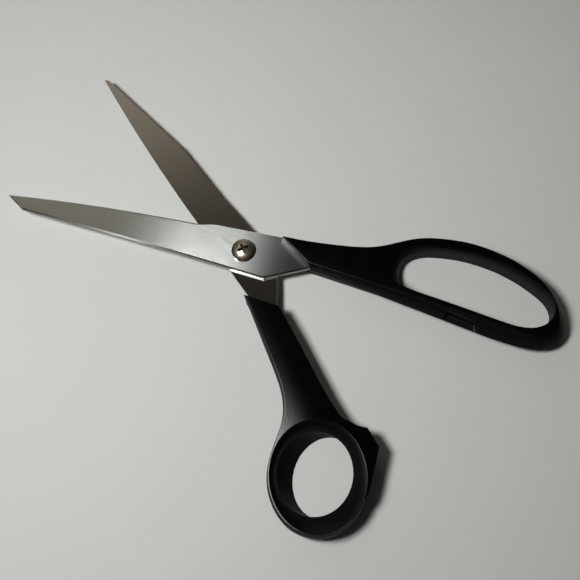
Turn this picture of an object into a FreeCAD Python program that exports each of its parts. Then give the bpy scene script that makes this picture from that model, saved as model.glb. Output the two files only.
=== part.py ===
"""Office scissors, 8 inch class, with two moulded handles of different shape.

Frame: millimetres, +Z up. The origin is on the pivot axis, in the plane that the scissors lie on.
+X runs from the pivot to the tip of the finger blade, and +Y points to the thumb ring's side.
The pieces are written open by REST_OPENING. The finger side (finger blade, finger handle, screw,
washer and nut) stays put, and the thumb side turns about the pivot axis.

Each blade is drawn with its cutting edge towards -Y and its flat inner face at height 0. The finger
blade is used that way up; the thumb blade is turned over about X, so that the inner faces meet.
"""
import FreeCAD, Part
import math
import os

Vector = FreeCAD.Vector
ORIGIN = Vector(0, 0, 0)
X_AXIS = Vector(1, 0, 0)
Z_AXIS = Vector(0, 0, 1)

# Driving dimensions, in millimetres and degrees.
HANDLE_HEIGHT = 10.6
SHEAR_HEIGHT = HANDLE_HEIGHT / 2       # the plane in which the two blades slide on each other
REST_OPENING = 38.0                    # angle between the two blades as drawn
BLADE_THICKNESS = 1.8
BLADE_GAP = 0.06                       # between the two inner faces
FACET_WIDTH = 1.1                      # of the ground cutting facet, seen from above
TIP_SETBACK = 1.8                      # how far the facet runs along the clipped tip
SPINE_CHAMFER = 0.5
HEEL_CHAMFER = 0.35                    # on the inner face of the thumb blade
SPINE_SIDE = 2.0                       # edges whose middle lies beyond this Y are spine or heel
HEEL_SIDE = -10.0                      # and, of these, the heel's have theirs short of this X
LEVEL_TOLERANCE = 1e-6

PIVOT_RADIUS = 2.5
PIVOT_CLEARANCE = 0.03
HEAD_RADIUS = 4.2
HEAD_HEIGHT = 2.5
HEAD_RIM_HEIGHT = 0.8
RECESS_SPAN = 4.6
RECESS_WIDTH = 1.15
RECESS_DEPTH = 1.7
RECESS_OVERRUN = 0.2                   # of the recess's cutter above the crown
RECESS_ANGLE = 40.0
RECESS_FLOOR_LENGTH = 0.4              # of the span, at the recess's floor
RECESS_FLOOR_WIDTH = 0.6               # of the width, at the recess's floor
DOME_SHOULDER = (0.62, 0.68)           # where the dome's curve passes: share of radius and height
THREAD_RADIUS = 2.0
THREAD_CHAMFER = 0.4
WASHER_RADIUS = 4.6
WASHER_THICKNESS = 0.75
WASHER_CLEARANCE = 0.04                # between the washer and the thumb blade
NUT_ACROSS_FLATS = 7.0
NUT_THICKNESS = 2.2
NUT_CHAMFER = 0.35
NUT_FACE_SHARE = 0.96                  # of the flats' half width, the flat face's radius
NUT_SIDES = 6
BORE_CLEARANCE = 0.03                  # of the washer and the nut on the thread

TANG_HOLE_RADIUS = 1.6                 # the moulding grips the tang through these holes

# Cutting edge and ricasso, which the two blades share, from the edge's heel end to the handle.
EDGE_MIDDLE = (55.0, -4.55)
EDGE_HEEL = (19.5, -6.6)
RICASSO_STEP = [EDGE_HEEL, (16.4, -6.45), (13.2, -7.0), (10.5, -7.3)]
RICASSO_END = (-12.3, -8.2)

# The rest of each blade: tip, then tang from the shoulder round to the heel, then heel, spine, clip.
FINGER_TIP = (91.0, -0.7)
FINGER_TANG = [RICASSO_END, (-15.0, -6.4), (-30.0, -7.4), (-45.0, -7.9), (-45.8, -3.0),
               (-30.0, -2.1), (-25.4, -1.2), (-24.0, 0.7)]
FINGER_SPINE = [(-9.5, 8.1), (16.5, 6.7), (46.0, 5.4), (83.3, 4.0)]
FINGER_TANG_HOLES = [(-27.0, -4.6), (-38.0, -5.1)]

THUMB_TIP = (91.5, -0.7)
THUMB_TANG = [(-16.2, -8.4), (-18.6, -8.1), (-30.0, -11.2), (-51.0, -17.0), (-52.3, -12.2),
              (-30.0, -6.2), (-26.0, -5.0), (-24.3, -3.1)]
THUMB_SPINE = [(-9.2, 8.0), (24.0, 6.2), (48.0, 6.3), (89.7, 0.55)]
THUMB_TANG_HOLES = [(-29.0, -8.6), (-43.0, -12.2)]

# Finger handle. Each side has a widest line at mid-height and a narrower crest, at the top and,
# the same again, at the bottom. The stretches are the front edge, the lower side, the rounded end
# of the bow and the upper side.
FINGER_WIDEST = [
    [(-11.2, -8.4), (-24.6, 0.6)],
    [(-24.6, 0.6), (-35.3, 1.9), (-46.4, 3.4), (-60.7, 5.5), (-75.0, 7.5), (-89.0, 9.5),
     (-99.0, 10.2)],
    [(-99.0, 10.2), (-105.8, 9.4), (-111.1, 6.3), (-113.3, 1.9), (-112.7, -2.7), (-109.6, -8.5),
     (-103.4, -15.0)],
    [(-103.4, -15.0), (-97.3, -18.4), (-89.8, -21.0), (-82.6, -22.4), (-75.5, -23.0),
     (-68.5, -22.5), (-61.6, -21.3), (-55.0, -18.9), (-50.0, -15.9), (-45.5, -13.2),
     (-39.1, -11.25), (-32.3, -10.05), (-22.1, -8.95), (-11.2, -8.4)],
]
FINGER_CREST = [
    [(-12.5, -7.5), (-23.6, -0.1)],
    [(-23.6, -0.1), (-35.3, 0.9), (-46.0, 1.8), (-56.6, 2.5), (-70.7, 3.7), (-84.5, 4.9),
     (-98.3, 6.5)],
    [(-98.3, 6.5), (-104.6, 6.3), (-108.7, 4.1), (-110.1, 0.6), (-109.6, -3.0), (-107.2, -8.0),
     (-101.9, -13.2)],
    [(-101.9, -13.2), (-96.2, -16.3), (-89.1, -18.8), (-82.2, -20.15), (-75.4, -20.7),
     (-68.8, -20.25), (-62.2, -19.2), (-56.2, -17.1), (-50.6, -14.2), (-45.9, -11.9),
     (-39.3, -10.0), (-32.4, -8.95), (-22.1, -7.85), (-12.5, -7.5)],
]
FINGER_HOLE = [(-55.4, -8.3), (-56.8, -12.2), (-60.7, -15.2), (-67.3, -16.9), (-73.7, -17.5),
               (-80.8, -17.3), (-88.0, -16.2), (-95.4, -14.0), (-102.2, -10.9), (-106.8, -7.5),
               (-108.4, -4.0), (-107.6, -0.2), (-104.6, 3.0), (-99.5, 4.6), (-90.4, 4.2),
               (-80.1, 3.0), (-69.7, 1.8), (-61.9, 0.7), (-57.7, -1.5), (-55.9, -4.7)]
HOLE_THROAT_REACH = 1.6                # how far the hole's shank end moves to the throat
HOLE_RAMP_REACH = 6.6                  # and to the crest, where the shank ramps down into it
HOLE_REACH_LENGTH = 12.0               # the stretch of the hole that this draws out
HOLE_REACH_POWER = 1.5                 # above 1, the drawn-out end is more pointed

# Stop notch in the outer side of the bow, open upwards, and the tab that drops into it.
NOTCH_FLOOR = SHEAR_HEIGHT
NOTCH_BACK = [(-73.6, 4.5), (-83.6, 6.1)]
NOTCH_MOUTH = [(-86.2, 12.0), (-72.2, 12.0)]
TAB_BOTTOM = SHEAR_HEIGHT + 0.4
TAB_TOP = HANDLE_HEIGHT
TAB_OUTLINE = [(-67.0, 13.0), (-68.0, 9.6), (-71.1, 8.1), (-73.6, 6.95), (-74.85, 5.95),
               (-76.0, 4.8), (-83.3, 5.6), (-85.2, 7.95), (-88.3, 11.8), (-92.1, 16.4),
               (-94.3, 20.2), (-88.0, 18.0)]

# Thumb handle, drawn in the finger side's frame with the scissors closed. The stretches are the
# front edge, the outer side with the ring, and the side that faces the finger handle.
THUMB_WIDEST = [
    [(-24.8, 2.4), (-13.9, 9.7)],
    [(-13.9, 9.7), (-19.5, 11.2), (-27.8, 13.5), (-38.1, 16.3), (-46.1, 18.7), (-51.4, 21.1),
     (-56.9, 25.6), (-61.8, 32.7), (-67.4, 39.4), (-74.8, 43.6), (-80.8, 44.7), (-86.7, 43.9),
     (-91.8, 40.9), (-95.4, 36.4), (-96.9, 30.6), (-96.3, 25.0), (-93.9, 19.6), (-90.0, 14.8),
     (-84.5, 11.2), (-78.0, 9.3), (-72.0, 8.7)],
    [(-72.0, 8.7), (-67.0, 8.75), (-60.7, 8.25), (-53.9, 7.15), (-46.3, 5.8), (-35.4, 3.85),
     (-24.8, 2.4)],
]
THUMB_CREST_INSET = 0.6
THUMB_RIM = {"centre": (-78.9, 26.9), "long": 18.4, "short": 15.6, "angle": 148.0}
THUMB_THROAT = {"centre": (-76.9, 27.0), "long": 13.7, "short": 12.4, "angle": 133.0}
THUMB_MOUTH = {"centre": (-79.9, 24.4), "long": 13.6, "short": 11.0, "angle": 128.0}
THROAT_HEIGHT = 5.3


def wire_of(stretches, height):
    """Closed wire at a height. A stretch of two points is straight, a longer one is a curve."""
    edges = []
    for stretch in stretches:
        points = [Vector(x, y, height) for x, y in stretch]
        if len(points) == 2:
            edges.append(Part.LineSegment(points[0], points[1]).toShape())
        else:
            curve = Part.BSplineCurve()
            curve.interpolate(points)
            edges.append(curve.toShape())
    return Part.Wire(edges)


def ring_curve(points, height):
    """Closed smooth wire through the points."""
    curve = Part.BSplineCurve()
    curve.interpolate([Vector(x, y, height) for x, y in points], PeriodicFlag=True)
    return Part.Wire([curve.toShape()])


def prism(points, bottom, top):
    """Straight-sided solid over a polygon."""
    corners = [Vector(x, y, bottom) for x, y in points]
    face = Part.Face(Part.makePolygon(corners + [corners[0]]))
    return face.extrude(Vector(0, 0, top - bottom))


def lofted(*wires):
    """Solid with straight lines between the wires, in order."""
    return Part.makeLoft(list(wires), True, True)


def towards(start, end, distance):
    """Point at a distance from start on the way to end."""
    length = math.dist(start, end)
    return tuple(a + (b - a) * distance / length for a, b in zip(start, end))


def inset(stretches, distance):
    """Outline moved inwards, for an outline drawn counter-clockwise seen from above."""
    loop = [point for stretch in stretches for point in stretch[:-1]]
    moved = {}
    for index, point in enumerate(loop):
        before = loop[index - 1]
        after = loop[(index + 1) % len(loop)]
        direction = math.atan2(after[1] - before[1], after[0] - before[0])
        moved[point] = (point[0] - distance * math.sin(direction),
                        point[1] + distance * math.cos(direction))
    return [[moved[point] for point in stretch] for stretch in stretches]


def blade_wire(tip, tang, spine, height, facet):
    """Outline of a blade at a height, with the cutting edge set back by the facet."""
    edge_tip = tip
    edge_middle = (EDGE_MIDDLE[0], EDGE_MIDDLE[1] + facet)
    step = [(EDGE_HEEL[0], EDGE_HEEL[1] + facet)] + RICASSO_STEP[1:]
    if facet:
        edge_tip = towards(tip, spine[-1], TIP_SETBACK)
        step[1] = (step[1][0], (step[0][1] + step[2][1]) / 2)
    corners = [Vector(x, y, height) for x, y in (edge_tip, edge_middle, step[0])]
    edges = [Part.Arc(*corners).toShape()]
    curve = Part.BSplineCurve()
    curve.interpolate([Vector(x, y, height) for x, y in step])
    edges.append(curve.toShape())
    straight = [step[-1]] + tang + spine + [edge_tip]
    for start, end in zip(straight, straight[1:]):
        edges.append(Part.makeLine(Vector(*start, height), Vector(*end, height)))
    return Part.Wire(edges)


def edges_on(shape, height):
    """Straight edges of a blade that lie at a height and on its spine's side."""
    chosen = []
    for edge in shape.Edges:
        heights = [vertex.Point.z for vertex in edge.Vertexes]
        level = all(abs(z - height) < LEVEL_TOLERANCE for z in heights)
        if level and edge.Curve.TypeId == "Part::GeomLine" and edge.CenterOfMass.y > SPINE_SIDE:
            chosen.append(edge)
    return chosen


def blade(tip, tang, spine, tang_holes, heel_chamfer=0.0):
    """Blade with its tang, its inner face at half the gap above height 0."""
    inner = BLADE_GAP / 2
    outer = inner + BLADE_THICKNESS
    body = lofted(blade_wire(tip, tang, spine, inner, 0.0),
                  blade_wire(tip, tang, spine, outer, FACET_WIDTH))
    if heel_chamfer:
        heel = [edge for edge in edges_on(body, inner) if edge.CenterOfMass.x < HEEL_SIDE]
        body = body.makeChamfer(heel_chamfer, heel)
    body = body.makeChamfer(SPINE_CHAMFER, edges_on(body, outer))
    bore = Part.makeCylinder(PIVOT_RADIUS + PIVOT_CLEARANCE, BLADE_THICKNESS, Vector(0, 0, inner))
    body = body.cut(bore)
    for x, y in tang_holes:
        body = body.cut(Part.makeCylinder(TANG_HOLE_RADIUS, BLADE_THICKNESS, Vector(x, y, inner)))
    return body


def to_thumb_side(shape):
    """Turn a piece from the closed position to where it stands in the open scissors."""
    turned = shape.copy()
    turned.rotate(ORIGIN, Z_AXIS, -REST_OPENING)
    return turned


def finger_blade():
    """Upper blade, with a broad clipped tip."""
    body = blade(FINGER_TIP, FINGER_TANG, FINGER_SPINE, FINGER_TANG_HOLES)
    body.translate(Vector(0, 0, SHEAR_HEIGHT))
    return body


def thumb_blade():
    """Lower blade, with a slender tip. Its heel edge is eased on the inner face as well."""
    body = blade(THUMB_TIP, THUMB_TANG, THUMB_SPINE, THUMB_TANG_HOLES, HEEL_CHAMFER)
    body.rotate(ORIGIN, X_AXIS, 180)
    body.translate(Vector(0, 0, SHEAR_HEIGHT))
    return to_thumb_side(body)


def stretched_hole(reach, height):
    """Outline of the finger hole with its shank end drawn out by reach."""
    end = max(x for x, _ in FINGER_HOLE)
    points = []
    for x, y in FINGER_HOLE:
        share = max(0.0, 1.0 - (end - x) / HOLE_REACH_LENGTH)
        points.append((x + reach * share ** HOLE_REACH_POWER, y))
    return ring_curve(points, height)


def finger_handle(tang):
    """Long bow for the fingers, moulded over the finger blade's tang."""
    body = lofted(wire_of(FINGER_CREST, 0), wire_of(FINGER_WIDEST, SHEAR_HEIGHT),
                  wire_of(FINGER_CREST, HANDLE_HEIGHT))
    hole = lofted(stretched_hole(0, 0), stretched_hole(HOLE_THROAT_REACH, SHEAR_HEIGHT),
                  stretched_hole(HOLE_RAMP_REACH, HANDLE_HEIGHT))
    notch = prism(NOTCH_BACK + NOTCH_MOUTH, NOTCH_FLOOR, HANDLE_HEIGHT)
    return body.cut(hole).cut(notch).cut(tang)


def ellipse_wire(shape, height):
    """Closed elliptical wire from its centre, half-axes and the long axis's angle."""
    ellipse = Part.Ellipse(ORIGIN, shape["long"], shape["short"])
    wire = Part.Wire([ellipse.toShape()])
    wire.rotate(ORIGIN, Z_AXIS, shape["angle"])
    wire.translate(Vector(*shape["centre"], height))
    return wire


def thumb_handle(tang):
    """Thumb ring with its slanting hole and the stop tab, moulded over the thumb blade's tang."""
    crest = inset(THUMB_WIDEST, THUMB_CREST_INSET)
    body = lofted(wire_of(crest, 0), wire_of(THUMB_WIDEST, SHEAR_HEIGHT),
                  wire_of(crest, HANDLE_HEIGHT))
    body = body.fuse(prism(TAB_OUTLINE, TAB_BOTTOM, TAB_TOP))
    hole = lofted(ellipse_wire(THUMB_MOUTH, 0), ellipse_wire(THUMB_THROAT, THROAT_HEIGHT),
                  ellipse_wire(THUMB_RIM, HANDLE_HEIGHT))
    return to_thumb_side(body.cut(hole).removeSplitter()).cut(tang)


def revolved(profile, arc_points=None):
    """Solid of revolution about Z from (radius, height) points, closed on the axis.

    arc_points, if given, are the start, middle and end of a rounded crown that ends the profile.
    """
    points = [Vector(radius, 0, height) for radius, height in profile]
    edges = [Part.makeLine(start, end) for start, end in zip(points, points[1:])]
    last = points[-1]
    if arc_points:
        arc = [Vector(radius, 0, height) for radius, height in arc_points]
        edges.append(Part.Arc(*arc).toShape())
        last = arc[-1]
    edges.append(Part.makeLine(last, points[0]))
    return Part.Face(Part.Wire(edges)).revolve(ORIGIN, Z_AXIS, 360)


def pivot_screw():
    """Pan-head screw: domed head with a cross recess, plain shank, threaded end."""
    head_seat = SHEAR_HEIGHT + BLADE_GAP / 2 + BLADE_THICKNESS
    shoulder = SHEAR_HEIGHT - BLADE_GAP / 2 - BLADE_THICKNESS - WASHER_CLEARANCE
    rim = head_seat + HEAD_RIM_HEIGHT
    crown = head_seat + HEAD_HEIGHT
    profile = [(0, 0), (THREAD_RADIUS - THREAD_CHAMFER, 0), (THREAD_RADIUS, THREAD_CHAMFER),
               (THREAD_RADIUS, shoulder), (PIVOT_RADIUS, shoulder), (PIVOT_RADIUS, head_seat),
               (HEAD_RADIUS, head_seat), (HEAD_RADIUS, rim)]
    shoulder_radius, shoulder_rise = DOME_SHOULDER
    dome = [(HEAD_RADIUS, rim),
            (HEAD_RADIUS * shoulder_radius, rim + (crown - rim) * shoulder_rise),
            (0, crown)]
    body = revolved(profile, dome)
    for quarter in (0, 90):
        slot = recess_slot(crown)
        slot.rotate(ORIGIN, Z_AXIS, RECESS_ANGLE + quarter)
        body = body.cut(slot)
    return body


def recess_slot(crown):
    """One arm pair of the cross recess, narrowing with depth."""
    wires = []
    floor = (crown - RECESS_DEPTH, RECESS_SPAN * RECESS_FLOOR_LENGTH,
             RECESS_WIDTH * RECESS_FLOOR_WIDTH)
    mouth = (crown + RECESS_OVERRUN, RECESS_SPAN, RECESS_WIDTH)
    for height, length, width in (floor, mouth):
        half = length / 2
        side = width / 2
        corners = [Vector(half, side, height), Vector(-half, side, height),
                   Vector(-half, -side, height), Vector(half, -side, height)]
        wires.append(Part.makePolygon(corners + [corners[0]]))
    return lofted(*wires)


def pivot_washer():
    """Plain washer between the thumb blade and the nut."""
    top = SHEAR_HEIGHT - BLADE_GAP / 2 - BLADE_THICKNESS - WASHER_CLEARANCE
    bottom = Vector(0, 0, top - WASHER_THICKNESS)
    disc = Part.makeCylinder(WASHER_RADIUS, WASHER_THICKNESS, bottom)
    return disc.cut(Part.makeCylinder(THREAD_RADIUS + BORE_CLEARANCE, WASHER_THICKNESS, bottom))


def pivot_nut():
    """Thin hexagon nut with its corners chamfered on both faces."""
    top = (SHEAR_HEIGHT - BLADE_GAP / 2 - BLADE_THICKNESS - WASHER_CLEARANCE
           - WASHER_THICKNESS)
    bottom = top - NUT_THICKNESS
    corner_radius = NUT_ACROSS_FLATS / math.sqrt(3)
    turns = [2 * math.pi * k / NUT_SIDES for k in range(NUT_SIDES)]
    corners = [(corner_radius * math.cos(turn), corner_radius * math.sin(turn)) for turn in turns]
    face_radius = NUT_ACROSS_FLATS / 2 * NUT_FACE_SHARE
    turned = revolved([(0, bottom), (face_radius, bottom), (corner_radius, bottom + NUT_CHAMFER),
                       (corner_radius, top - NUT_CHAMFER), (face_radius, top), (0, top)])
    bore = Part.makeCylinder(THREAD_RADIUS + BORE_CLEARANCE, NUT_THICKNESS, Vector(0, 0, bottom))
    return prism(corners, bottom, top).common(turned).cut(bore)


def main():
    """Build every piece and write one STEP file for each."""
    upper = finger_blade()
    lower = thumb_blade()
    pieces = {
        "finger_blade": upper,
        "thumb_blade": lower,
        "finger_handle": finger_handle(upper),
        "thumb_handle": thumb_handle(lower),
        "pivot_screw": pivot_screw(),
        "pivot_washer": pivot_washer(),
        "pivot_nut": pivot_nut(),
    }
    os.makedirs("parts", exist_ok=True)
    for name, shape in pieces.items():
        shape.exportStep("parts/" + name + ".step")
        box = shape.BoundBox
        print(name, shape.isValid(), len(shape.Solids), "solid", round(shape.Volume, 1), "mm3",
              [round(value, 2) for value in (box.XMin, box.XMax, box.YMin, box.YMax, box.ZMin,
                                             box.ZMax)])


main()
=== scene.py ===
"""Office scissors: materials, moulded edges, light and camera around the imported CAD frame."""

import math

import bpy
from mathutils import Matrix, Vector

MM = 0.001

# Camera, in the part frame: looking down on the scissors from the thumb ring's side.
CAMERA_PLACE = Vector((-61.15, 108.42, 300.11)) * MM
CAMERA_FORWARD = Vector((0.13272, -0.31522, -0.93969))
CAMERA_UP = Vector((0.23282, -0.91164, 0.33869))
CAMERA_LENS = 55.86
CAMERA_SENSOR = 36.0

# Light: one soft lamp over the blades' side, two weak ones across Y, and a dim room.
MAIN_PLACE = Vector((0.115, 0.098, 0.365))
MAIN_SIZE = 0.085
MAIN_POWER = 1.12
MAIN_COLOUR = (1.0, 1.0, 0.985)
FILL_PLACES = (Vector((-0.10, 0.80, 0.36)), Vector((0.15, -0.80, 0.36)))
FILL_SIZE = 0.50
FILL_POWER = 0.08
FILL_COLOUR = (1.0, 0.98, 0.95)
ROOM_DARK = (0.016, 0.0145, 0.013)
ROOM_LIGHT = (0.41, 0.365, 0.305)
ROOM_TOWARDS = (0.45, -0.60, 0.66)     # the middle of the lit patch of the room
ROOM_STEP = (0.920, 0.980)             # cosines from that direction: the patch's rim and its full part

REST_OPENING = math.radians(38.0)

# Blade steel. One steel in both blades; the finger blade's tint is raised as painted highlight, the
# thumb blade's lowered and warmed as painted shade.
FINGER_LIT_TINT = (0.79, 0.82, 0.79)
THUMB_SHADED_TINT = (0.62, 0.605, 0.57)
GRIND_CENTRE = (66.0 * MM, 160.0 * MM)   # of the arcs on a blade's outer face: along, across
STROKE_WIDTH = 0.16 * MM
STROKE_DEPTH = 0.0026 * MM
STEEL_ROUGHNESS = (0.11, 0.16)         # of the inner face, over the strokes
OUTER_ROUGHNESS = 0.075                # added on the outer face
EDGE_ROUGHNESS = 0.28                  # added on everything but the flat faces
EDGE_PAINTED_SHADE = 0.45                      # share of the tint on the walls and facets, as painted shade
FLAT_FACING = 0.97                     # Z of the normal beyond which a surface counts as flat
BLADE_BEVEL = 0.06 * MM
# Slope that the finger blade's outer face is shaded with at the pivot, and where it changes:
# place along the blade, sense, and change per metre as a share of the slope at the pivot.
PIVOT_SLOPE = 0.0667
SLOPE_CHANGES = ((5.7 * MM, -1.0, -96.0), (19.4 * MM, 1.0, -39.0), (50.0 * MM, 1.0, 39.0))

# Screw, washer and nut.
NICKEL_TINT = (0.92, 0.82, 0.66)
ZINC_TINT = (0.60, 0.61, 0.62)
# Painted shade for the screw head's recess and rim.
SCREW_PAINTED_SHADE = (0.10, 0.075, 0.045)
PLATE_ROUGHNESS = 0.30
SCREW_HEAD = (9.83 * MM, 4.2 * MM, 1.7 * MM)   # height of the crown, radius, rise
RECESS_DEPTH = 0.30 * MM               # below the screw's crown, where the painted shade of the recess starts
HARDWARE_BEVEL = 0.08 * MM

# Handle plastic.
PLASTIC_COLOURS = ((0.0012, 0.0013, 0.0013), (0.0020, 0.0021, 0.0020))
PARTING_HEIGHT = 5.3 * MM              # of the handles' widest line
BULGE = 0.55                           # slope by which a handle's side turns up at its top
# The shanks' middle lines: angle to the finger side's +X, place beside the pivot, crown.
FINGER_SHANK = (math.radians(4.5), -8.0 * MM, 0.16)
THUMB_SHANK = (math.radians(51.0), 2.0 * MM, 0.145)
CROWN_WIDTH = 4.0 * MM
GRAIN_DEPTH = 0.004 * MM
TOP_ROUGHNESS = 0.20
WALL_ROUGHNESS = 0.42
LEDGE_ROUGHNESS = 0.16                 # added below the top face, as on the notch's floor
LEDGE_HEIGHTS = (6.5 * MM, 8.5 * MM)
PLASTIC_VOXEL = 0.16 * MM
PLASTIC_PASSES = 10

# Floor sheet.
PAPER_TONES = ((0.70, 0.705, 0.685), (0.73, 0.735, 0.715))
PAPER_PAINTED_LIGHT = (-0.10, 0.12, 1.16, 0.96)   # painted light and shade across the floor: from Y, to Y, and the brightness at each
PAPER_HALF = 3.0


class Nodes:
    """Short calls for the nodes of one material."""

    def __init__(self, name):
        self.material = bpy.data.materials.new(name)
        self.material.use_nodes = True
        self.tree = self.material.node_tree
        self.tree.nodes.clear()
        self.output = self.tree.nodes.new("ShaderNodeOutputMaterial")
        self.shader = self.tree.nodes.new("ShaderNodeBsdfPrincipled")
        self.link(self.shader.outputs["BSDF"], self.output.inputs["Surface"])

    def link(self, start, end):
        self.tree.links.new(start, end)

    def feed(self, socket, value):
        """Link an output to a socket, or set a plain value on it."""
        if isinstance(value, bpy.types.NodeSocket):
            self.link(value, socket)
        else:
            socket.default_value = value

    def set(self, **values):
        """Plain values on the shader's own sockets."""
        for name, value in values.items():
            self.shader.inputs[name.replace("_", " ")].default_value = value

    def place(self):
        """Object coordinates, in metres."""
        return self.tree.nodes.new("ShaderNodeTexCoord").outputs["Object"]

    def maths(self, operation, *values, clamp=False):
        node = self.tree.nodes.new("ShaderNodeMath")
        node.operation = operation
        node.use_clamp = clamp
        for socket, value in zip(node.inputs, values):
            self.feed(socket, value)
        return node.outputs["Value"]

    def vector(self, operation, *values):
        node = self.tree.nodes.new("ShaderNodeVectorMath")
        node.operation = operation
        for socket, value in zip(node.inputs, values):
            self.feed(socket, value)
        return node.outputs["Vector"]

    def split(self, vector):
        node = self.tree.nodes.new("ShaderNodeSeparateXYZ")
        self.feed(node.inputs["Vector"], vector)
        return node.outputs["X"], node.outputs["Y"], node.outputs["Z"]

    def join(self, x, y, z):
        node = self.tree.nodes.new("ShaderNodeCombineXYZ")
        for name, value in zip("XYZ", (x, y, z)):
            self.feed(node.inputs[name], value)
        return node.outputs["Vector"]

    def noise(self, vector, scale, detail=2.0, roughness=0.5):
        node = self.tree.nodes.new("ShaderNodeTexNoise")
        self.feed(node.inputs["Vector"], vector)
        node.inputs["Scale"].default_value = scale
        node.inputs["Detail"].default_value = detail
        node.inputs["Roughness"].default_value = roughness
        return node.outputs["Fac"]

    def spread(self, value, low, high, to_low, to_high):
        """Map a value's range to another, clamped."""
        node = self.tree.nodes.new("ShaderNodeMapRange")
        self.feed(node.inputs["Value"], value)
        for name, number in (("From Min", low), ("From Max", high), ("To Min", to_low),
                             ("To Max", to_high)):
            node.inputs[name].default_value = number
        return node.outputs["Result"]

    def between(self, kind, share, first, second):
        """Mix two values of one kind, RGBA or VECTOR."""
        node = self.tree.nodes.new("ShaderNodeMix")
        node.data_type = kind
        self.feed(node.inputs["Factor"], share)
        inputs = [socket for socket in node.inputs if socket.type == kind]
        self.feed([socket for socket in inputs if socket.name == "A"][0], first)
        self.feed([socket for socket in inputs if socket.name == "B"][0], second)
        return [out for out in node.outputs if out.type == kind][0]

    def blend(self, share, first, second):
        """Colour between two colours."""
        return self.between("RGBA", share, first, second)

    def mixed(self, share, first, second):
        """Vector between two vectors."""
        return self.between("VECTOR", share, first, second)

    def to_world(self, vector):
        node = self.tree.nodes.new("ShaderNodeVectorTransform")
        node.vector_type = "VECTOR"
        node.convert_from = "OBJECT"
        node.convert_to = "WORLD"
        self.feed(node.inputs["Vector"], vector)
        return node.outputs["Vector"]

    def bump(self, height, distance, normal=None):
        node = self.tree.nodes.new("ShaderNodeBump")
        node.inputs["Distance"].default_value = distance
        node.inputs["Strength"].default_value = 1.0
        self.feed(node.inputs["Height"], height)
        if normal is not None:
            self.feed(node.inputs["Normal"], normal)
        return node.outputs["Normal"]


def rgba(colour):
    return (*colour, 1.0)


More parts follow.
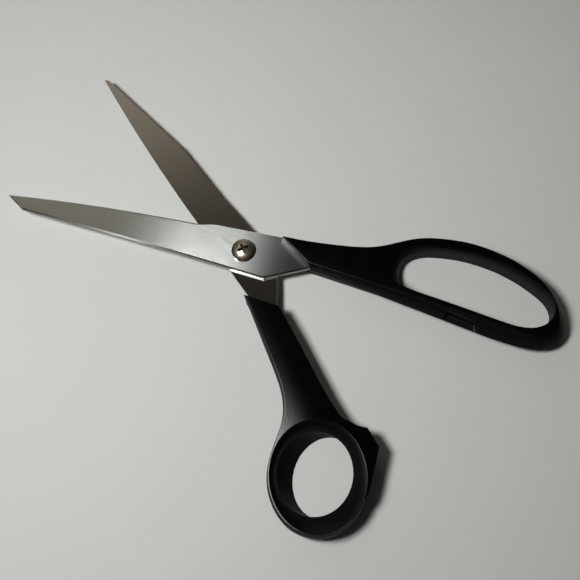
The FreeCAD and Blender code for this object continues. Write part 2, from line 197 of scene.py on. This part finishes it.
def brushed_blade(name, side, turn, tint, crown):
    """Ground steel, for a blade whose outer face points up (side 1) or down (side -1).

    On the outer face the wheel leaves arcs about a far centre; on the inner face it runs straight
    across the blade. The outer face is flat, and only shaded as if it sloped along the blade; crown
    is that slope at the pivot.
    """
    n = Nodes(name)
    x, y, z = n.split(n.place())
    # Along and across the blade.
    along = n.maths("ADD", n.maths("MULTIPLY", x, math.cos(turn)),
                    n.maths("MULTIPLY", y, math.sin(turn)))
    across = n.maths("MULTIPLY",
                     n.maths("SUBTRACT", n.maths("MULTIPLY", y, math.cos(turn)),
                             n.maths("MULTIPLY", x, math.sin(turn))), side)
    facing = n.split(n.tree.nodes.new("ShaderNodeNewGeometry").outputs["True Normal"])[2]
    outer = n.maths("GREATER_THAN", n.maths("MULTIPLY", facing, side), -0.2)

    # Arm from the centre of the arcs, in the blade's own directions.
    dx = n.maths("SUBTRACT", along, GRIND_CENTRE[0])
    dy = n.maths("SUBTRACT", across, GRIND_CENTRE[1])
    radius = n.maths("SQRT", n.maths("ADD", n.maths("MULTIPLY", dx, dx),
                                     n.maths("MULTIPLY", dy, dy)))
    angle = n.maths("ARCTAN2", dy, dx)
    arcs = n.join(n.maths("MULTIPLY", radius, 1 / STROKE_WIDTH),
                  n.maths("MULTIPLY", angle, 20.0), n.maths("MULTIPLY", z, 300.0))
    straight = n.join(n.maths("MULTIPLY", along, 1 / STROKE_WIDTH),
                      n.maths("MULTIPLY", across, 120.0), n.maths("MULTIPLY", z, 300.0))
    strokes = n.mixed(outer, straight, arcs)
    fine = n.noise(strokes, 1.0, 3.0, 0.6)
    broad = n.noise(n.vector("MULTIPLY", strokes, (0.17, 0.6, 1.0)), 1.0, 2.0, 0.5)
    clouds = n.noise(n.place(), 60.0, 3.0, 0.55)

    steel = n.blend(n.spread(fine, 0.3, 0.7, 0.0, 1.0), rgba([c * 0.88 for c in tint]), rgba(tint))
    steel = n.blend(n.spread(clouds, 0.35, 0.7, 0.0, 0.35), steel,
                    rgba([tint[0] * 0.93, tint[1] * 0.90, tint[2] * 0.86]))
    # The walls and sloping facets along the edges are rougher than the faces, and painted darker as
    # painted shade.
    rise = n.maths("MULTIPLY", facing, side)
    facet = n.maths("SUBTRACT", n.maths("GREATER_THAN", rise, -0.2),
                    n.maths("GREATER_THAN", rise, FLAT_FACING))
    steel = n.blend(facet, steel, rgba([c * EDGE_PAINTED_SHADE for c in tint]))
    n.feed(n.shader.inputs["Base Color"], steel)
    rough = n.maths("ADD", n.spread(fine, 0.25, 0.75, *STEEL_ROUGHNESS),
                    n.maths("MULTIPLY", outer, OUTER_ROUGHNESS))
    flat = n.maths("GREATER_THAN", n.maths("ABSOLUTE", facing), FLAT_FACING)
    n.feed(n.shader.inputs["Roughness"],
           n.maths("ADD", rough, n.maths("MULTIPLY", n.maths("SUBTRACT", 1.0, flat), EDGE_ROUGHNESS)))

    # The rougher direction lies across the strokes.
    arc_x = n.maths("DIVIDE", dx, radius)
    arc_y = n.maths("MULTIPLY", n.maths("DIVIDE", dy, radius), side)
    aim = n.mixed(outer, (1.0, 0.0, 0.0), n.join(arc_x, arc_y, 0.0))
    aim_x, aim_y, _ = n.split(aim)
    cosine, sine = math.cos(turn), math.sin(turn)
    tangent = n.join(n.maths("SUBTRACT", n.maths("MULTIPLY", aim_x, cosine),
                             n.maths("MULTIPLY", aim_y, sine)),
                     n.maths("ADD", n.maths("MULTIPLY", aim_x, sine),
                             n.maths("MULTIPLY", aim_y, cosine)), 0.0)
    n.feed(n.shader.inputs["Tangent"], n.to_world(tangent))
    n.set(Metallic=1.0, Anisotropic=0.92)

    # The shaded slope is steeper behind the pivot and gentler ahead. It was matched to one view,
    # and shows a hard step from straight above.
    def squared_beyond(start, sense):
        beyond = n.maths("MAXIMUM", n.maths("MULTIPLY", n.maths("SUBTRACT", along, start), sense), 0.0)
        return n.maths("MULTIPLY", beyond, beyond)

    dome = n.maths("MULTIPLY", along, crown)
    for start, sense, curve in SLOPE_CHANGES:
        dome = n.maths("ADD", dome, n.maths("MULTIPLY", squared_beyond(start, sense),
                                            0.5 * curve * crown))
    crowned = n.bump(dome, 1.0)
    patches = n.spread(n.noise(n.place(), 170.0, 2.0, 0.5), 0.35, 0.65, 0.25, 1.0)
    height = n.maths("ADD", fine, n.maths("MULTIPLY", broad, 2.5))
    height = n.maths("MULTIPLY", n.maths("MULTIPLY", height, patches),
                     n.spread(outer, 0.0, 1.0, 0.5, 1.0))
    n.feed(n.shader.inputs["Normal"], n.bump(height, STROKE_DEPTH, crowned))
    return n.material


def moulded_plastic(name, turn, offset, crown):
    """Black moulded plastic with a fine grain.

    Above the parting line its sides are shaded as if they bulged, and its top as if it were crowned
    across the shank.
    """
    n = Nodes(name)
    x, y, z = n.split(n.place())
    grain = n.noise(n.place(), 3200.0, 2.0, 0.6)
    pits = n.noise(n.place(), 1100.0, 2.0, 0.5)
    clouds = n.noise(n.place(), 90.0, 3.0, 0.5)
    colour = n.blend(n.spread(clouds, 0.3, 0.7, 0.0, 1.0), rgba(PLASTIC_COLOURS[0]),
                     rgba(PLASTIC_COLOURS[1]))
    n.feed(n.shader.inputs["Base Color"], colour)
    facing = n.split(n.tree.nodes.new("ShaderNodeNewGeometry").outputs["Normal"])[2]
    n.feed(n.shader.inputs["Roughness"],
           n.maths("ADD", n.maths("ADD", n.spread(grain, 0.3, 0.7, -0.03, 0.03),
                                  n.spread(z, *LEDGE_HEIGHTS, LEDGE_ROUGHNESS, 0.0)),
                   n.spread(facing, 0.55, 0.95, WALL_ROUGHNESS, TOP_ROUGHNESS)))
    n.set(Specular_IOR_Level=0.18)

    above = n.maths("MAXIMUM", n.maths("SUBTRACT", z, PARTING_HEIGHT), 0.0)
    bulge = n.maths("MULTIPLY", n.maths("MULTIPLY", above, above), -0.5 * BULGE / PARTING_HEIGHT)
    # Distance from the shank's middle line.
    outward = n.maths("ADD", n.maths("MULTIPLY", x, math.sin(turn)),
                      n.maths("MULTIPLY", y, math.cos(turn)))
    outward = n.maths("SUBTRACT", outward, offset)
    dome = n.maths("MULTIPLY", n.maths("SQRT", n.maths("ADD", n.maths("MULTIPLY", outward, outward),
                                                        CROWN_WIDTH * CROWN_WIDTH)), -crown)
    shaped = n.bump(n.maths("ADD", bulge, dome), 1.0)
    height = n.maths("ADD", grain, n.maths("MULTIPLY", pits, 1.6))
    n.feed(n.shader.inputs["Normal"], n.bump(height, GRAIN_DEPTH, shaped))
    return n.material


def plated(name, tint, roughness, head=None):
    """Plated turned steel with faint rings and spots; painted shade darkens a screw head's rim and
    recess.

    The head, if given, is the height of its crown, its radius and its rise.
    """
    n = Nodes(name)
    x, y, z = n.split(n.place())
    radius = n.maths("SQRT", n.maths("ADD", n.maths("MULTIPLY", x, x), n.maths("MULTIPLY", y, y)))
    rings = n.noise(n.join(n.maths("MULTIPLY", radius, 1 / (0.12 * MM)), 0.0, 0.0), 1.0, 2.0, 0.5)
    spots = n.noise(n.place(), 900.0, 3.0, 0.55)
    colour = n.blend(n.spread(spots, 0.35, 0.7, 0.0, 1.0), rgba(tint), rgba([c * 0.72 for c in tint]))
    if head:
        crown, reach, rise = head
        share = n.maths("MULTIPLY", radius, 1 / reach)
        surface = n.maths("SUBTRACT", crown,
                          n.maths("MULTIPLY", n.maths("MULTIPLY", share, share), rise))
        # Painted shade: the head's recess and its rim are painted darker, as where shade falls.
        sunk = n.maths("MULTIPLY", n.maths("LESS_THAN", share, 0.6),
                       n.maths("GREATER_THAN", n.maths("SUBTRACT", surface, z), RECESS_DEPTH))
        painted_shade = n.maths("MAXIMUM", n.maths("MULTIPLY", sunk, 0.8), n.spread(share, 0.72, 1.0, 0.0, 0.75))
        colour = n.blend(painted_shade, colour, rgba(SCREW_PAINTED_SHADE))
    n.feed(n.shader.inputs["Base Color"], colour)
    n.feed(n.shader.inputs["Roughness"], n.spread(spots, 0.3, 0.7, roughness * 0.8, roughness * 1.3))
    n.set(Metallic=1.0)
    n.feed(n.shader.inputs["Normal"], n.bump(n.maths("ADD", rings, spots), 0.002 * MM))
    return n.material


def paint(node, material):
    """Give a CAD node one material on every slot."""
    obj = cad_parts[node]
    if not obj.material_slots:
        obj.data.materials.append(material)
    for slot in obj.material_slots:
        slot.material = material
    return obj


def rounded(obj):
    """Refine a moulded piece and soften its edges."""
    remesh = obj.modifiers.new("refine", "REMESH")
    remesh.mode = "VOXEL"
    remesh.voxel_size = PLASTIC_VOXEL
    remesh.use_smooth_shade = True
    smooth = obj.modifiers.new("soften", "SMOOTH")
    smooth.factor = 0.5
    smooth.iterations = PLASTIC_PASSES


def eased(obj, width):
    """A narrow bevel on sharp edges, with flat faces kept flat."""
    bevel = obj.modifiers.new("ease", "BEVEL")
    bevel.width = width
    bevel.segments = 2
    bevel.limit_method = "ANGLE"
    bevel.angle_limit = math.radians(28)
    bevel.harden_normals = False


def lamp(name, place, size, power, colour):
    """Square area lamp aimed at the pivot."""
    data = bpy.data.lights.new(name, "AREA")
    data.size = size
    data.energy = power
    data.color = colour
    obj = bpy.data.objects.new(name, data)
    obj.location = place
    obj.rotation_mode = "QUATERNION"
    obj.rotation_quaternion = (-place).to_track_quat("-Z", "Y")
    bpy.context.scene.collection.objects.link(obj)


def paper():
    """Pale floor sheet, painted lighter towards -Y and darker towards +Y as painted light and shade."""
    mesh = bpy.data.meshes.new("floor")
    corners = [(-PAPER_HALF, -PAPER_HALF, 0), (PAPER_HALF, -PAPER_HALF, 0),
               (PAPER_HALF, PAPER_HALF, 0), (-PAPER_HALF, PAPER_HALF, 0)]
    mesh.from_pydata(corners, [], [(0, 1, 2, 3)])
    floor = bpy.data.objects.new("floor", mesh)
    bpy.context.scene.collection.objects.link(floor)
    n = Nodes("paper")
    clouds = n.noise(n.place(), 14.0, 3.0, 0.5)
    fibre = n.noise(n.place(), 900.0, 3.0, 0.6)
    tone = n.blend(clouds, rgba(PAPER_TONES[0]), rgba(PAPER_TONES[1]))
    # Painted light: the sheet's colour is lighter towards -Y and darker towards +Y.
    painted_light = n.spread(n.split(n.place())[1], *PAPER_PAINTED_LIGHT)
    n.feed(n.shader.inputs["Base Color"], n.vector("MULTIPLY", tone, n.join(painted_light, painted_light, painted_light)))
    n.set(Roughness=0.75)
    n.feed(n.shader.inputs["Normal"],
           n.bump(n.maths("ADD", fibre, n.maths("MULTIPLY", clouds, 30.0)), 0.02 * MM))
    mesh.materials.append(n.material)


def room():
    """Dim room around the table, with one lighter patch."""
    world = bpy.data.worlds.new("room")
    bpy.context.scene.world = world
    world.use_nodes = True
    tree = world.node_tree
    place = tree.nodes.new("ShaderNodeTexCoord")
    side = tree.nodes.new("ShaderNodeVectorMath")
    side.operation = "DOT_PRODUCT"
    side.inputs[1].default_value = ROOM_TOWARDS
    step = tree.nodes.new("ShaderNodeMapRange")
    step.interpolation_type = "SMOOTHSTEP"
    step.inputs["From Min"].default_value, step.inputs["From Max"].default_value = ROOM_STEP
    mix = tree.nodes.new("ShaderNodeMix")
    mix.data_type = "RGBA"
    inputs = [socket for socket in mix.inputs if socket.type == "RGBA"]
    inputs[0].default_value = rgba(ROOM_DARK)
    inputs[1].default_value = rgba(ROOM_LIGHT)
    tree.links.new(place.outputs["Generated"], side.inputs[0])
    tree.links.new(side.outputs["Value"], step.inputs["Value"])
    tree.links.new(step.outputs["Result"], mix.inputs["Factor"])
    colour = [out for out in mix.outputs if out.type == "RGBA"][0]
    tree.links.new(colour, tree.nodes["Background"].inputs["Color"])


def camera():
    """Camera at the constants' place, aim and lens."""
    data = bpy.data.cameras.new("camera")
    data.sensor_width = CAMERA_SENSOR
    data.lens = CAMERA_LENS
    data.clip_start = 0.01
    data.clip_end = 20.0
    obj = bpy.data.objects.new("camera", data)
    right = CAMERA_FORWARD.cross(CAMERA_UP).normalized()
    up = right.cross(CAMERA_FORWARD).normalized()
    turn = Matrix((right, up, -CAMERA_FORWARD.normalized())).transposed()
    obj.matrix_world = Matrix.Translation(CAMERA_PLACE) @ turn.to_4x4()
    bpy.context.scene.collection.objects.link(obj)
    bpy.context.scene.camera = obj


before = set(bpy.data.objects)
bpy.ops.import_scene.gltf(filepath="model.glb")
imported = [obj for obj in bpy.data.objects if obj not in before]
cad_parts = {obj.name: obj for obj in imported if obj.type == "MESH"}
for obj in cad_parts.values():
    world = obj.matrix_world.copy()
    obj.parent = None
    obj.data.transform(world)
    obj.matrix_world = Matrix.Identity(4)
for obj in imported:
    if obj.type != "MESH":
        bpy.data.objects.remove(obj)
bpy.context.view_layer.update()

finger_steel = brushed_blade("finger_blade_steel", 1.0, 0.0, FINGER_LIT_TINT, PIVOT_SLOPE)
thumb_steel = brushed_blade("thumb_blade_steel", -1.0, -REST_OPENING, THUMB_SHADED_TINT, 0.0)
finger_plastic = moulded_plastic("finger_handle_plastic", *FINGER_SHANK)
thumb_plastic = moulded_plastic("thumb_handle_plastic", *THUMB_SHANK)
nickel = plated("screw_nickel", NICKEL_TINT, PLATE_ROUGHNESS, SCREW_HEAD)
zinc = plated("hardware_zinc", ZINC_TINT, PLATE_ROUGHNESS)

for node, steel in (("finger_blade", finger_steel), ("thumb_blade", thumb_steel)):
    eased(paint(node, steel), BLADE_BEVEL)
for node, plastic in (("finger_handle", finger_plastic), ("thumb_handle", thumb_plastic)):
    rounded(paint(node, plastic))
eased(paint("pivot_screw", nickel), HARDWARE_BEVEL)
eased(paint("pivot_washer", zinc), HARDWARE_BEVEL)
eased(paint("pivot_nut", zinc), HARDWARE_BEVEL)

paper()
room()
lamp("main_lamp", MAIN_PLACE, MAIN_SIZE, MAIN_POWER, MAIN_COLOUR)
for count, place in enumerate(FILL_PLACES):
    lamp("fill_lamp_%d" % count, place, FILL_SIZE, FILL_POWER, FILL_COLOUR)
camera()
bpy.context.scene.view_settings.view_transform = "Standard"
